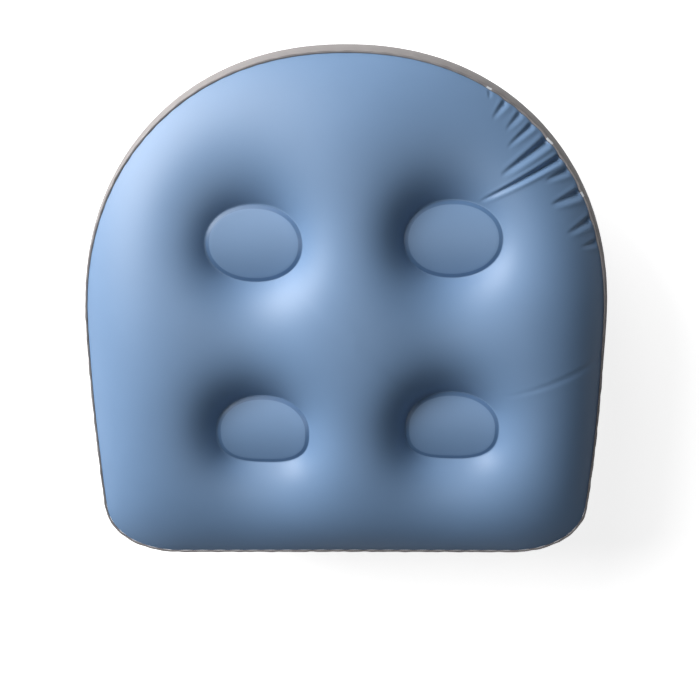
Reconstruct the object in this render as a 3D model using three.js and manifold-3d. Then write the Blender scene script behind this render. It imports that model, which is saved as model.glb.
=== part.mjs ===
// Inflatable bath seat: a welded vinyl cushion held to shape by four tie columns,
// with a push-in inflation valve in its front wall and four suction cups below.
// Millimetres, +Z up. The seat stands on its cups at Z = 0, with its straight front
// edge towards -Y and its arched back towards +Y.

import * as THREE from "three";
import { mergeVertices } from "three/addons/utils/BufferGeometryUtils.js";
import Module from "manifold-3d";

const wasm = await Module();
wasm.setup();

// Overall size, over everything
const seatWidth = 420;
const seatDepth = 410;
const seatHeight = 150;

// Film, and the clearance left between pieces that are welded or seated together
const film = 0.6;
const gap = 0.3;
const overrun = 8; // how far a cutting tool runs past what it cuts

// Plan outline, where the side wall is fullest
const archCentreY = -9; // the widest place, where the arch ends and the sides begin
const archPower = 2.15;
const sideDrawIn = 11; // how far each side has come in at the front edge
const cornerWidth = 67;
const cornerDepth = 46;
const cornerPower = 2.2;

// Side wall: an upright band, blown out into an arc between its two seams
const wallBulge = 10;
const crownRise = 34; // from the top seam up to the crown
const seamLipWidth = 2.2;
const seamLipThickness = 1;
const wallEndDrop = 0.9; // the band stops this far short of the seam line

// Top and bottom sheets. The top is blown into a dome, the bottom is flatter to stand on
const topEdgeReach = 140; // from the seam to where the sheet is level
const topEdgePower = 2.4;
const topEdgeRoot = 1.19; // over 1, the sheet leaves its seam more steeply
const topDimpleReach = 78.7; // from a weld ring to where the sheet is level
const topDimplePower = 2.45;
const topDimpleRoot = 1.19;
const topFullness = 1.006; // of the rise, before the dimples pull it down to the crown
const bottomEdgeReach = 55;
const bottomEdgePower = 2.4;
const bottomDimpleReach = 56;
const bottomDimplePower = 2.2;
const dimpleDepth = 30; // from the crown down to an upper weld ring
const buttonRise = 3; // how far a disc swells inside its ring

// Tie columns and the weld rings that hold their ends
const columnSpacingX = 149;
const columnSpacingY = 147;
const columnGridX = 7.5;
const columnGridY = -13.2;
const columnGridTurn = THREE.MathUtils.degToRad(1.28);
const discHalfWidth = 36.7;
const backDiscHalfDepth = 29.1;
const frontDiscHalfDepth = 28;
const discPower = 2.1;
const frontDiscLowerPower = 2.7; // the front discs are flatter on their front side
const weldRingWidth = 3.4;
const weldRingFilm = 0.8;
const columnFilm = 0.6;
const ventRadius = 7;

// Suction cups and their sockets
const cupSideInset = 68; // the front cups' centres, from the widest sides
const cupFrontInset = 63; // and from the front wall
const cupBackInset = 71; // the back cups' centres, from the back
const cupBackSpacing = 124;
const cupRadius = 20;
const cupLipWidth = 2.4;
const cupLipThickness = 1;
const cupHeight = 7.6; // to the top of the bell
const cupHollowHeight = 5.7;
const cupNeckRadius = 3.8;
const cupHeadRadius = 6;
const cupHeadThickness = 3.2;
const cupShoulderRadius = 7;
const cupTabLength = 6;
const cupTabWidth = 8;
const cupTurnClearance = 0.7; // between the bell and its socket
const cupHeadRoom = 1.4; // between the head and the bottom sheet
const socketMouthWall = 1.3;
const socketRadius = 10.5;
const socketFlangeRadius = 16;
const socketFlangeThickness = 1.6;
const headClearance = 0.6;

// Inflation valve, set into the front wall
const valveX = 90;
const flangeRadius = 15.5;
const bellowsSpread = 3.6; // from the stem out to the bore of the flange
const flangeProud = 1.1;
const flangeCollarWidth = 1.8; // of the flat collar round the bore
const flangeSkirtThickness = 0.8; // of the rest, which bends with the wall
const stemRadius = 6;
const stemWall = 1.9;
const stemDepth = 16; // how far the pushed-in stem reaches behind the wall
const stemProud = 0.6;
const bellowsFilm = 0.8;
const bellowsDepth = 14;
const flapOverlap = 1.1; // of the flap over the rim of the stem's bore
const flapFilm = 0.8;
const plugTabClearance = 0.4; // between the pull tab and the flange
const plugPinLength = 6;
const plugTabWidth = 5;
const plugTabReach = 10.5;
const plugTabThickness = 1.2;
const strapWidth = 3.2;
const strapFilm = 0.8;
const strapDepth = 5.5;

// How finely each form is drawn
const outlineSteps = { arch: 60, side: 20, corner: 24, front: 16 };
const turnLength = 60; // a radian of turn counts as this much length when the seam is divided
const seamSteps = 10; // along the seam, for each quarter of the sheet
const divideShares = [0, 0.28, 0.54, 0.76, 0.91]; // from the middle out, between two quarters
const bandShares = [0, 0.16, 0.4, 0.66, 0.87, 1]; // from a weld ring out to the seam
const buttonShares = [1, 0.6]; // from a weld ring in to the middle of its disc
const evenShare = 0.5; // how far the spokes are spread evenly round a weld ring
const wallSteps = 8;
const discSteps = 20;
const roundSteps = 20;
const bellSteps = 4;

// Sizes and places that follow from those above
const socketBase = cupHeight + cupTurnClearance;
const neckTop = socketBase + socketMouthWall + gap;
const cupHeadTop = neckTop + cupHeadThickness;
const standOff = cupHeadTop + cupHeadRoom; // from the tub up to the lowest of the bottom sheet
const midHeight = (seatHeight + standOff) / 2;
const seamHeight = seatHeight - crownRise;
const ringHeight = seatHeight - dimpleDepth;
const flangeBoreRadius = stemRadius + bellowsSpread;
const stemBoreRadius = stemRadius - stemWall;
const flapRadius = stemBoreRadius + flapOverlap;
const plugProud = flangeProud + plugTabClearance + plugTabThickness;
const wallHalfHeight = seamHeight - midHeight;
const wallRadius = (wallHalfHeight ** 2 + wallBulge ** 2) / (2 * wallBulge);
const wallHalfAngle = Math.asin(wallHalfHeight / wallRadius);
const frontY = -seatDepth / 2 + plugProud; // the wall's fullest place at the front
const backY = seatDepth / 2;
const halfWidth = seatWidth / 2;

const discs = [
  { name: "back_left", side: -1, end: 1 },
  { name: "back_right", side: 1, end: 1 },
  { name: "front_left", side: -1, end: -1 },
  { name: "front_right", side: 1, end: -1 },
].map((disc) => {
  const x = (disc.side * columnSpacingX) / 2;
  const y = (disc.end * columnSpacingY) / 2;
  const cos = Math.cos(columnGridTurn);
  const sin = Math.sin(columnGridTurn);
  return {
    ...disc,
    x: columnGridX + x * cos - y * sin,
    y: columnGridY + x * sin + y * cos,
    halfDepth: disc.end > 0 ? backDiscHalfDepth : frontDiscHalfDepth,
    lowerPower: disc.end > 0 ? discPower : frontDiscLowerPower,
  };
});

const cups = discs.map(({ name, side, end }) => ({
  name,
  x: side * (end > 0 ? cupBackSpacing / 2 : halfWidth - cupSideInset),
  y: end > 0 ? backY - cupBackInset : frontY + cupFrontInset,
}));

// Materials
const finish = (color, roughness, extra = {}) =>
  new THREE.MeshStandardMaterial({ color, roughness, metalness: 0, ...extra });
const blueFilm = finish(0x6f93bd, 0.42);
const greyFilm = finish(0xb3aeb0, 0.5);
const weldedFilm = finish(0xa9b2bf, 0.35);
const innerFilm = finish(0xcfd3d8, 0.55);
const valveVinyl = finish(0x9aa3ad, 0.4);
const clearVinyl = finish(0xd9e1e6, 0.12, { transparent: true, opacity: 0.55 });

// Solid of a triangle list, turned the right way out
function closedGeometry(points, triangles) {
  const position = new Float32Array(points.flatMap((p) => [p.x, p.y, p.z]));
  const corner = new THREE.Vector3();
  const volume = triangles.reduce(
    (sum, [a, b, c]) => sum + corner.crossVectors(points[a], points[b]).dot(points[c]),
    0,
  );
  const faces = volume < 0 ? triangles.map(([a, b, c]) => [a, c, b]) : triangles;
  return new THREE.BufferGeometry()
    .setAttribute("position", new THREE.BufferAttribute(position, 3))
    .setIndex(faces.flat());
}

// Solid skinned over a chain of closed loops that ends where it begins, like a tyre
function ringGeometry(loops) {
  const count = loops[0].length;
  const triangles = [];
  loops.forEach((_, k) => {
    const next = (k + 1) % loops.length;
    for (let i = 0; i < count; i++) {
      const j = (i + 1) % count;
      triangles.push([k * count + i, k * count + j, next * count + j]);
      triangles.push([k * count + i, next * count + j, next * count + i]);
    }
  });
  return closedGeometry(loops.flat(), triangles);
}

// Solid skinned over a stack of loops, with a lid on its first and last
function stackGeometry(loops) {
  const count = loops[0].length;
  const points = loops.flat();
  const triangles = [];
  for (let k = 0; k + 1 < loops.length; k++) {
    for (let i = 0; i < count; i++) {
      const j = (i + 1) % count;
      triangles.push([k * count + i, k * count + j, (k + 1) * count + j]);
      triangles.push([k * count + i, (k + 1) * count + j, (k + 1) * count + i]);
    }
  }
  const last = (loops.length - 1) * count;
  for (let i = 1; i + 1 < count; i++) {
    triangles.push([0, i + 1, i]);
    triangles.push([last, last + i, last + i + 1]);
  }
  return closedGeometry(points, triangles);
}

function toSolid(geometry) {
  const plain = geometry.clone();
  plain.deleteAttribute("normal");
  plain.deleteAttribute("uv");
  const merged = mergeVertices(plain);
  return new wasm.Manifold(
    new wasm.Mesh({
      numProp: 3,
      vertProperties: merged.attributes.position.array,
      triVerts: new Uint32Array(merged.index.array),
    }),
  );
}

function toGeometry(solid) {
  const mesh = solid.getMesh();
  return new THREE.BufferGeometry()
    .setAttribute("position", new THREE.BufferAttribute(mesh.vertProperties, 3))
    .setIndex(new THREE.BufferAttribute(mesh.triVerts, 1));
}

// Turned piece from a profile of [radius, height], standing along +Z
function turned(profile) {
  const points = profile.map(([radius, height]) => new THREE.Vector2(radius, height));
  return new THREE.LatheGeometry(points, roundSteps).rotateX(Math.PI / 2);
}

// The outline of the fullest wall, with the outward normal at each point
function outline() {
  const half = [];
  for (let i = 0; i < outlineSteps.arch; i++) {
    const a = ((Math.PI / 2) * i) / outlineSteps.arch;
    const x = halfWidth * Math.sin(a) ** (2 / archPower);
    const y = archCentreY + (backY - archCentreY) * Math.cos(a) ** (2 / archPower);
    half.push([x, y]);
  }
  const drawnIn = (x, y) => {
    const forward = (archCentreY - y) / (archCentreY - frontY);
    return [x * (1 - (sideDrawIn / halfWidth) * forward ** 2), y];
  };
  const cornerY = frontY + cornerDepth;
  for (let i = 0; i < outlineSteps.side; i++) {
    const y = archCentreY + ((cornerY - archCentreY) * i) / outlineSteps.side;
    half.push(drawnIn(halfWidth, y));
  }
  for (let i = 0; i < outlineSteps.corner; i++) {
    const a = ((Math.PI / 2) * i) / outlineSteps.corner;
    const x = halfWidth - cornerWidth + cornerWidth * Math.cos(a) ** (2 / cornerPower);
    const y = cornerY - cornerDepth * Math.sin(a) ** (2 / cornerPower);
    half.push(drawnIn(x, y));
  }
  for (let i = 0; i <= outlineSteps.front; i++) {
    half.push(drawnIn((halfWidth - cornerWidth) * (1 - i / outlineSteps.front), frontY));
  }
  const left = half.slice(1, -1).reverse().map(([x, y]) => [-x, y]);
  const loop = [...half, ...left];
  return loop.map(([x, y], i) => {
    const [ax, ay] = loop.at(i - 1);
    const [bx, by] = loop[(i + 1) % loop.length];
    const length = Math.hypot(bx - ax, by - ay);
    return { x, y, nx: (ay - by) / length, ny: (bx - ax) / length };
  });
}

const outlineLoop = outline();
const moved = (point, out) => [point.x + point.nx * out, point.y + point.ny * out];
const seamLine = outlineLoop.map((point) => moved(point, -wallBulge));

// The stations of the seam: four arcs between the lines that divide the sheet into
// quarters, each divided evenly by its length and its turning
function quarterStations() {
  const nearest = (miss) =>
    seamLine.reduce((best, p, i) => (miss(...p) < miss(...seamLine[best]) ? i : best), 0);
  const far = seatWidth + seatDepth;
  const junctions = [
    nearest((x, y) => (y > columnGridY ? Math.abs(x - columnGridX) : far)),
    nearest((x, y) => (x > columnGridX ? Math.abs(y - columnGridY) : far)),
    nearest((x, y) => (y < columnGridY ? Math.abs(x - columnGridX) : far)),
    nearest((x, y) => (x < columnGridX ? Math.abs(y - columnGridY) : far)),
  ];
  const count = outlineLoop.length;
  return junctions.map((from, q) => {
    const to = junctions[(q + 1) % junctions.length];
    const steps = (to - from + count) % count;
    const measure = [0];
    for (let i = 1; i <= steps; i++) {
      const a = outlineLoop[(from + i - 1) % count];
      const b = outlineLoop[(from + i) % count];
      const turn = Math.acos(Math.min(1, a.nx * b.nx + a.ny * b.ny));
      measure.push(measure[i - 1] + Math.hypot(b.x - a.x, b.y - a.y) + turnLength * turn);
    }
    const stations = [];
    for (let k = 0; k <= seamSteps; k++) {
      const aim = measure[steps] * (k / seamSteps);
      const i = measure.findIndex((m) => m >= aim);
      stations.push(outlineLoop[(from + i) % count]);
    }
    return stations;
  });
}

const quarters = quarterStations();
const stations = quarters.flatMap((arc) => arc.slice(0, -1));

// A level loop round the seat, offset outwards from the fullest wall
const wallLoop = (out, z) =>
  stations.map((station) => new THREE.Vector3(...moved(station, out), z));

// Radius of a weld ring's outer edge, in a direction from its centre
function discRadius(disc, angle) {
  const power = Math.sin(angle) < 0 ? disc.lowerPower : discPower;
  const across = Math.abs(Math.cos(angle) / discHalfWidth) ** power;
  const along = Math.abs(Math.sin(angle) / disc.halfDepth) ** power;
  return (across + along) ** (-1 / power);
}

function discLoop(disc, inset, z) {
  return Array.from({ length: discSteps }, (_, i) => {
    const angle = (2 * Math.PI * i) / discSteps;
    const radius = discRadius(disc, angle) - inset;
    return new THREE.Vector3(
      disc.x + radius * Math.cos(angle),
      disc.y + radius * Math.sin(angle),
      z,
    );
  });
}

function distanceToSeam(x, y) {
  let least = Infinity;
  seamLine.forEach(([ax, ay], i) => {
    const [bx, by] = seamLine[(i + 1) % seamLine.length];
    const along = ((x - ax) * (bx - ax) + (y - ay) * (by - ay)) / ((bx - ax) ** 2 + (by - ay) ** 2);
    const t = Math.min(1, Math.max(0, along));
    least = Math.min(least, Math.hypot(x - ax - t * (bx - ax), y - ay - t * (by - ay)));
  });
  return least;
}

const eased = (share, power, root = 1) =>
  (1 - (1 - Math.min(1, Math.max(0, share))) ** power) ** (1 / root);

// How each sheet rises away from its seam and from its weld rings
const topForm = {
  fromSeam: (run) => topFullness * eased(run / topEdgeReach, topEdgePower, topEdgeRoot),
  fromRing: (run) => eased(run / topDimpleReach, topDimplePower, topDimpleRoot),
};
const bottomForm = {
  fromSeam: (run) => eased(run / bottomEdgeReach, bottomEdgePower),
  fromRing: (run) => eased(run / bottomDimpleReach, bottomDimplePower),
};

// Height of a sheet over a point of the plan, as if it were the upper one
function sheetHeight(x, y, form) {
  let free = 1;
  for (const disc of discs) {
    const away = Math.hypot(x - disc.x, y - disc.y);
    const radius = discRadius(disc, Math.atan2(y - disc.y, x - disc.x));
    const inner = radius - weldRingWidth;
    if (away < inner) return ringHeight + buttonRise * (1 - (away / inner) ** 2);
    free *= form.fromRing(away - radius);
  }
  const blown = seamHeight + crownRise * form.fromSeam(distanceToSeam(x, y));
  return ringHeight + (blown - ringHeight) * free;
}

const topHeight = (x, y) => sheetHeight(x, y, topForm);
const bottomHeight = (x, y) => 2 * midHeight - sheetHeight(x, y, bottomForm);

// The border of one quarter of a sheet: along the seam, in to the middle and out again
function quarterBorder(arc) {
  const seam = arc.map((station) => moved(station, -wallBulge));
  const divide = ([toX, toY]) =>
    divideShares.map((share) => [
      columnGridX + (toX - columnGridX) * share,
      columnGridY + (toY - columnGridY) * share,
    ]);
  return [...seam, ...divide(seam.at(-1)).reverse(), ...divide(seam[0]).slice(1)];
}

// The direction of each spoke, between where its border point lies and an even spread
function spokeAngles(border, disc) {
  const direct = border.map(([x, y]) => Math.atan2(y - disc.y, x - disc.x));
  const turn = 2 * Math.PI;
  return direct.map((angle, i) => {
    const passed = (direct[0] - angle + turn) % turn;
    const even = (turn * i) / border.length;
    return direct[0] - passed - (even - passed) * evenShare;
  });
}

// A sheet over the whole plan: spokes run from each weld ring out to the seam and to
// the lines between the quarters, and the disc inside each ring has rings of its own
function sheetSurface(heightAt) {
  const points = [];
  const known = new Map();
  const put = (x, y) => {
    const key = [x, y].map((v) => Math.round(v / (gap / 1000))).join();
    if (!known.has(key)) {
      known.set(key, points.length);
      points.push(new THREE.Vector3(x, y, heightAt(x, y)));
    }
    return known.get(key);
  };
  const triangles = [];
  const discOf = ["back_right", "front_right", "front_left", "back_left"].map((name) =>
    discs.find((disc) => disc.name === name),
  );
  const quad = (a, b, c, d) => {
    const acrossShorter = points[a].distanceTo(points[c]) < points[b].distanceTo(points[d]);
    if (acrossShorter) triangles.push([a, b, c], [a, c, d]);
    else triangles.push([a, b, d], [b, c, d]);
  };
  quarters.forEach((arc, q) => {
    const disc = discOf[q];
    const border = quarterBorder(arc);
    const angles = spokeAngles(border, disc);
    const rows = border.map(([bx, by], i) => {
      const outer = discRadius(disc, angles[i]);
      const inner = outer - weldRingWidth;
      const cos = Math.cos(angles[i]);
      const sin = Math.sin(angles[i]);
      const rx = disc.x + outer * cos;
      const ry = disc.y + outer * sin;
      const bands = bandShares.map((t) => put(rx + (bx - rx) * t, ry + (by - ry) * t));
      const button = buttonShares.map((t) => put(disc.x + inner * t * cos, disc.y + inner * t * sin));
      return [...bands.reverse(), ...button];
    });
    const centre = put(disc.x, disc.y);
    rows.forEach((row, i) => {
      const next = rows[(i + 1) % rows.length];
      for (let k = 0; k + 1 < row.length; k++) quad(row[k], next[k], next[k + 1], row[k + 1]);
      triangles.push([row.at(-1), next.at(-1), centre]);
    });
  });
  const rim = stations.map((station) => put(...moved(station, -wallBulge)));
  return { points, triangles, rim };
}

// The surface thickened inwards by the film
function sheetGeometry(heightAt, inwards) {
  const { points, triangles, rim } = sheetSurface(heightAt);
  const normals = points.map(() => new THREE.Vector3());
  const ab = new THREE.Vector3();
  const ac = new THREE.Vector3();
  for (const [a, b, c] of triangles) {
    ab.subVectors(points[b], points[a]);
    ac.subVectors(points[c], points[a]);
    ab.cross(ac);
    for (const i of [a, b, c]) normals[i].add(ab);
  }
  const inside = points.map((point, i) => {
    const normal = normals[i].normalize();
    const turn = Math.sign(normal.z) * inwards;
    return point.clone().addScaledVector(normal, film * turn);
  });
  const count = points.length;
  const backs = triangles.map(([a, b, c]) => [a + count, c + count, b + count]);
  const sides = rim.flatMap((a, i) => {
    const b = rim[(i + 1) % rim.length];
    return [
      [a, a + count, b + count],
      [a, b + count, b],
    ];
  });
  return closedGeometry([...points, ...inside], [...triangles, ...backs, ...sides]);
}

// The band of the side wall, at a distance outside its fullest outline
function bandLoops(out, halfAngle) {
  return Array.from({ length: wallSteps + 1 }, (_, k) => {
    const angle = halfAngle * ((2 * k) / wallSteps - 1);
    const radius = wallRadius + out;
    const depth = radius * Math.cos(angle) - wallRadius;
    return wallLoop(depth, midHeight + radius * Math.sin(angle));
  });
}

const bandHalfAngle = Math.asin((wallHalfHeight - wallEndDrop) / wallRadius);

const seat = new THREE.Group();

function add(name, geometry, material, parent = seat) {
  const mesh = new THREE.Mesh(geometry, material);
  mesh.name = name;
  parent.add(mesh);
  return mesh;
}

// Envelope
add("top_sheet", sheetGeometry(topHeight, -1), blueFilm);
add("bottom_sheet", sheetGeometry(bottomHeight, 1), greyFilm);

const valvePlace = new THREE.Vector3(valveX, frontY, midHeight);
const wallHole = new THREE.CylinderGeometry(
  flangeBoreRadius + gap,
  flangeBoreRadius + gap,
  2 * stemDepth,
  roundSteps,
).translate(valvePlace.x, valvePlace.y, valvePlace.z);
const band = ringGeometry([
  ...bandLoops(0, bandHalfAngle),
  ...bandLoops(-film, bandHalfAngle).reverse(),
]);
add("side_wall", toGeometry(toSolid(band).subtract(toSolid(wallHole))), greyFilm);

// The lip where a sheet and the band are welded together, standing out from the seam
function seamLip(height) {
  const inner = -wallBulge + gap;
  const outer = inner + seamLipWidth;
  const half = seamLipThickness / 2;
  return ringGeometry([
    wallLoop(inner, height - half),
    wallLoop(outer, height - half),
    wallLoop(outer, height + half),
    wallLoop(inner, height + half),
  ]);
}
add("top_seam_lip", seamLip(seamHeight), weldedFilm);
add("bottom_seam_lip", seamLip(2 * midHeight - seamHeight), weldedFilm);

// Tie columns
const ringTop = ringHeight - film - gap; // upper face of an upper weld ring
const columnTop = ringTop - weldRingFilm - gap;
const columnMiddle = weldRingWidth / 2;

function weldRing(disc, high, low) {
  return ringGeometry([
    discLoop(disc, gap, low),
    discLoop(disc, gap, high),
    discLoop(disc, weldRingWidth, high),
    discLoop(disc, weldRingWidth, low),
  ]);
}

for (const disc of discs) {
  const mirror = (height) => 2 * midHeight - height;
  const upper = weldRing(disc, ringTop, ringTop - weldRingFilm);
  const lower = weldRing(disc, mirror(ringTop - weldRingFilm), mirror(ringTop));
  add(`top_weld_ring_${disc.name}`, upper, innerFilm);
  add(`bottom_weld_ring_${disc.name}`, lower, innerFilm);
  const tube = ringGeometry([
    discLoop(disc, columnMiddle - columnFilm / 2, mirror(columnTop)),
    discLoop(disc, columnMiddle - columnFilm / 2, columnTop),
    discLoop(disc, columnMiddle + columnFilm / 2, columnTop),
    discLoop(disc, columnMiddle + columnFilm / 2, mirror(columnTop)),
  ]);
  const vent = new THREE.CylinderGeometry(
    ventRadius,
    ventRadius,
    2 * (disc.halfDepth + overrun),
    roundSteps,
  ).translate(disc.x, disc.y, midHeight);
  add(`tie_column_${disc.name}`, toGeometry(toSolid(tube).subtract(toSolid(vent))), innerFilm);
}

// Everything above the underside of the bottom sheet, less the welding gap
function aboveBottomSheet() {
  const { points, triangles, rim } = sheetSurface(bottomHeight);
  const count = points.length;
  const low = points.map((p) => new THREE.Vector3(p.x, p.y, p.z - gap));
  const high = points.map((p) => new THREE.Vector3(p.x, p.y, midHeight));
  const lid = triangles.map(([a, b, c]) => [a + count, c + count, b + count]);
  const sides = rim.flatMap((a, i) => {
    const b = rim[(i + 1) % rim.length];
    return [
      [a, a + count, b + count],
      [a, b + count, b],
    ];
  });
  return toSolid(closedGeometry([...low, ...high], [...triangles, ...lid, ...sides]));
}

// Suction cups: each turns in its socket, which is welded to the bottom sheet
const cushion = aboveBottomSheet();

function cupProfile() {
  const bell = [];
  const hollow = [];
  for (let i = 0; i <= bellSteps; i++) {
    const a = ((Math.PI / 2) * i) / bellSteps;
    const outerRun = cupRadius - cupShoulderRadius;
    bell.push([
      cupShoulderRadius + outerRun * Math.cos(a),
      cupLipThickness + (cupHeight - cupLipThickness) * Math.sin(a),
    ]);
    hollow.push([(cupRadius - cupLipWidth) * Math.sin(a), cupHollowHeight * Math.cos(a)]);
  }
  return [
    ...hollow,
    [cupRadius, 0],
    ...bell,
    [cupNeckRadius, cupHeight],
    [cupNeckRadius, neckTop],
    [cupHeadRadius, neckTop],
    [cupHeadRadius - gap, neckTop + cupHeadThickness / 2],
    [cupNeckRadius, cupHeadTop],
    [0, cupHeadTop],
  ];
}

// The socket's hub, and the flange round it that follows the bottom sheet
const socketTop = 2 * midHeight - seamHeight;
const socketCavityRadius = cupHeadRadius + headClearance;
const hubProfile = [
  [cupNeckRadius + gap, socketBase],
  [socketRadius, socketBase],
  [socketRadius, socketTop],
  [socketCavityRadius, socketTop],
  [socketCavityRadius, socketBase + socketMouthWall],
  [cupNeckRadius + gap, socketBase + socketMouthWall],
  [cupNeckRadius + gap, socketBase],
];
const flangeBlockProfile = [
  [socketCavityRadius, socketBase],
  [socketFlangeRadius, socketBase],
  [socketFlangeRadius, socketTop],
  [socketCavityRadius, socketTop],
  [socketCavityRadius, socketBase],
];

const tabRoot = cupRadius - cupLipWidth / 2;
for (const cup of cups) {
  const outward = Math.atan2(cup.y, cup.x);
  const tab = new THREE.BoxGeometry(cupTabLength * 2, cupTabWidth, cupLipThickness)
    .translate(cupRadius, 0, cupLipThickness)
    .rotateZ(outward);
  const inside = new THREE.CylinderGeometry(tabRoot, tabRoot, 2 * overrun, roundSteps)
    .rotateX(Math.PI / 2);
  const bell = toSolid(turned(cupProfile())).add(toSolid(tab).subtract(toSolid(inside)));
  const place = new THREE.Group();
  place.position.set(cup.x, cup.y, 0);
  seat.add(place);
  add(`suction_cup_${cup.name}`, toGeometry(bell), clearVinyl, place);
  const above = cushion.translate([-cup.x, -cup.y, 0]);
  const aboveLowered = above.translate([0, 0, -socketFlangeThickness]);
  const layer = toSolid(turned(flangeBlockProfile)).intersect(aboveLowered);
  const socket = toSolid(turned(hubProfile)).add(layer).subtract(above);
  add(`cup_socket_${cup.name}`, toGeometry(socket), weldedFilm, place);
}

// Valve: its pieces are turned about an axis that points out of the front wall
const valve = new THREE.Group();
valve.position.copy(valvePlace);
valve.rotation.x = Math.PI / 2;
seat.add(valve);

function valveRing(radius) {
  return toSolid(turned([
    [flangeBoreRadius, -wallBulge / 2],
    [radius, -wallBulge / 2],
    [radius, flangeProud],
    [flangeBoreRadius, flangeProud],
    [flangeBoreRadius, -wallBulge / 2],
  ]));
}

// All that lies inside the wall, grown by a distance, as seen from the valve
const toValve = new THREE.Matrix4().makeRotationX(-Math.PI / 2);
toValve.multiply(new THREE.Matrix4().makeTranslation(...valvePlace.clone().negate().toArray()));
function insideWall(grown) {
  return toSolid(stackGeometry(bandLoops(grown, bandHalfAngle))).transform(toValve.toArray());
}
const skirt = valveRing(flangeRadius).intersect(insideWall(gap + flangeSkirtThickness));
const collar = valveRing(flangeBoreRadius + flangeCollarWidth);
const flange = collar.add(skirt).subtract(insideWall(gap));
add("valve_flange", toGeometry(flange), valveVinyl, valve);

const bellowsMouth = flangeBoreRadius - gap;
const bellowsRoot = stemRadius + gap;
add("valve_bellows", turned([
  [bellowsMouth - bellowsFilm, flangeProud],
  [bellowsRoot, -bellowsDepth],
  [bellowsRoot + bellowsFilm, -bellowsDepth],
  [bellowsMouth, flangeProud],
  [bellowsMouth - bellowsFilm, flangeProud],
]), valveVinyl, valve);

add("valve_stem", turned([
  [stemBoreRadius, -stemDepth],
  [stemRadius, -stemDepth],
  [stemRadius, stemProud],
  [stemBoreRadius, stemProud],
  [stemBoreRadius, -stemDepth],
]), valveVinyl, valve);

add("valve_flap", turned([
  [0, -stemDepth - gap - flapFilm],
  [flapRadius, -stemDepth - gap - flapFilm],
  [flapRadius, -stemDepth - gap],
  [0, -stemDepth - gap],
]), clearVinyl, valve);

const plugHeadBase = stemProud + gap;
const plugBody = toSolid(turned([
  [0, stemProud - plugPinLength],
  [stemBoreRadius - gap, stemProud - plugPinLength],
  [stemBoreRadius - gap, plugHeadBase],
  [stemRadius, plugHeadBase],
  [stemRadius, plugProud],
  [0, plugProud],
]));
const plugTab = new THREE.BoxGeometry(plugTabReach, plugTabWidth, plugTabThickness)
  .translate(-plugTabReach / 2, 0, plugProud - plugTabThickness / 2);
add("valve_plug", toGeometry(plugBody.add(toSolid(plugTab))), valveVinyl, valve);

// The strap hooks over from the plug's head down the side of the stem
const strapInner = stemRadius + gap;
const strapHook = new THREE.Shape(
  [
    [strapInner, plugProud],
    [strapInner, plugProud - strapFilm],
    [strapInner + gap, plugProud - strapFilm],
    [strapInner, -strapDepth],
    [strapInner + strapFilm, -strapDepth],
    [strapInner + gap + strapFilm, plugProud - strapFilm],
    [strapInner + gap + strapFilm, plugProud],
  ].map(([radius, height]) => new THREE.Vector2(radius, height)),
);
const strap = new THREE.ExtrudeGeometry(strapHook, { depth: strapWidth, bevelEnabled: false })
  .translate(0, 0, -strapWidth / 2)
  .rotateX(Math.PI / 2);
add("valve_strap", strap, valveVinyl, valve);

export default seat;
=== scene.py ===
# %% [markdown]
# # An inflatable bath seat
#
# The seat is a bag of welded vinyl film. A blue top sheet and a grey bottom sheet are
# joined by an upright band, and four oval tie columns inside hold the two sheets
# together, so that air pressure blows the rest into a crown around four dimples. A
# frame of CAD solids gives every piece its place. This lesson models each piece again
# with the fine shape, the seams and the finish of real film.

# %% The frame
import math

import bmesh
import bpy
import numpy as np
from mathutils import Matrix, Vector


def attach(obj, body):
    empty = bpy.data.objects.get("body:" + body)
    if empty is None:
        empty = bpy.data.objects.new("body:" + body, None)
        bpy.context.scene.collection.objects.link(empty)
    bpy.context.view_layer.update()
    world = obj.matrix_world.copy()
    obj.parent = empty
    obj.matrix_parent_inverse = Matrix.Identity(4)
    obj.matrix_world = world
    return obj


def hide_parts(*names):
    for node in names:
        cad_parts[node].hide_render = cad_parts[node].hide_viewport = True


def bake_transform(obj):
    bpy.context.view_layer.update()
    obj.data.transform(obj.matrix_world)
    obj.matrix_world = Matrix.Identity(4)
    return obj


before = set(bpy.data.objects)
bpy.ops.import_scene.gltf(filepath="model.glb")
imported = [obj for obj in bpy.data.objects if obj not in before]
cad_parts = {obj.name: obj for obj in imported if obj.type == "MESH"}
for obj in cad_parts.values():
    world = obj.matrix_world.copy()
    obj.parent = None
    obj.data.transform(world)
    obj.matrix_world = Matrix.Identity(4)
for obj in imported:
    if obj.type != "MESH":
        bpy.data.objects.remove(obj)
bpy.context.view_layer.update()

# %% [markdown]
# # The camera and the light
#
# The seat is seen from above, from about 0.7 m, with the camera leaning towards the
# arch. That near a viewpoint is what makes the sides taper and lets the grey wall show
# along the arch. The place and the lens come from fitting the outline of the seat. The
# light comes mostly from the upper left, from broad round lamps that stand low enough
# for the dimples' near slopes to fall into shade. A third one stands more behind the
# arch and a weak one hangs overhead. The sky adds almost nothing, and only the camera
# sees it white.

# %% The camera
camera_place = (0.0071, 0.111, 0.700)
camera_lean = -0.228
camera_roll = 0.0064
lens = 39.39  # millimetres, on a sensor 36 mm wide

camera_data = bpy.data.cameras.new("camera")
camera_data.lens = lens
camera_data.sensor_width = 36
camera = bpy.data.objects.new("camera", camera_data)
camera.location = camera_place
camera.rotation_euler = (camera_lean, camera_roll, 0)
bpy.context.collection.objects.link(camera)
bpy.context.scene.camera = camera
print(f"camera: {camera_place[2] * 1000:.0f} mm up, lens {lens} mm")


# %% The lamps and the sky
lamp_aim = Vector((0.0, 0.0, 0.1))
lamp_distance = 2.6
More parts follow.
